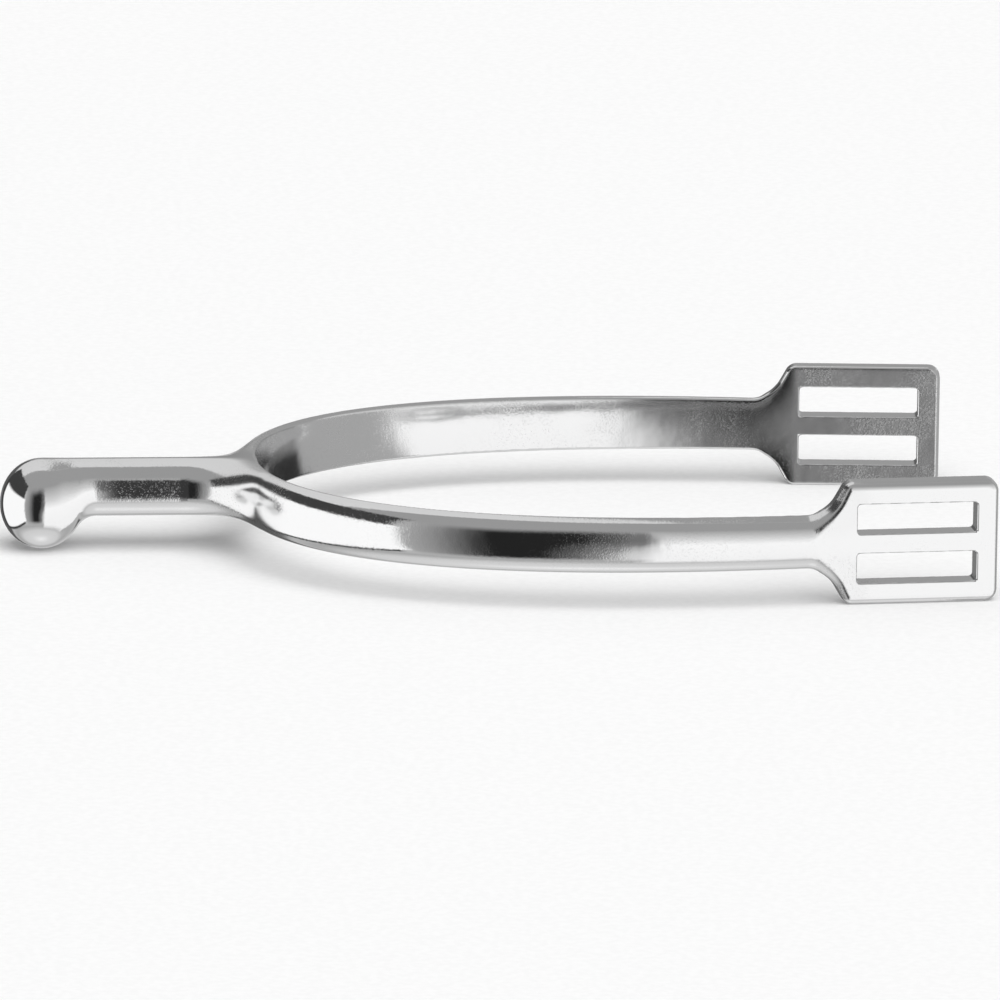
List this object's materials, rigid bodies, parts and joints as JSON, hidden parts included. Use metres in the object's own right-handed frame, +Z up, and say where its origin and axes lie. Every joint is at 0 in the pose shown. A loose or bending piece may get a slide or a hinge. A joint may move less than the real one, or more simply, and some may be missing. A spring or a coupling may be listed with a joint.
{
  "type": "english riding spur",
  "caption": "Polished steel heel spur: a U-shaped half-round yoke with a short round neck ending in a dropped ball knob, and a two-slot strap plate on each branch.",
  "frame": {"origin": "middle of the yoke's inner face at the heel, at half the height of the yoke and the neck", "axes": "+X forward along the branches towards the rider's toe, so the neck points to -X; +Y to the rider's left; +Z up, across the height of the strap plates"},
  "size_m": [0.1372, 0.0824, 0.0174],
  "materials": {
    "polished_steel": "mirror-polished stainless steel, all over"
  },
  "bodies": {
    "root": {"knob": "polished_steel", "neck": "polished_steel", "yoke": "polished_steel", "left_strap_plate": "polished_steel", "right_strap_plate": "polished_steel"}
  },
  "joints": []
}
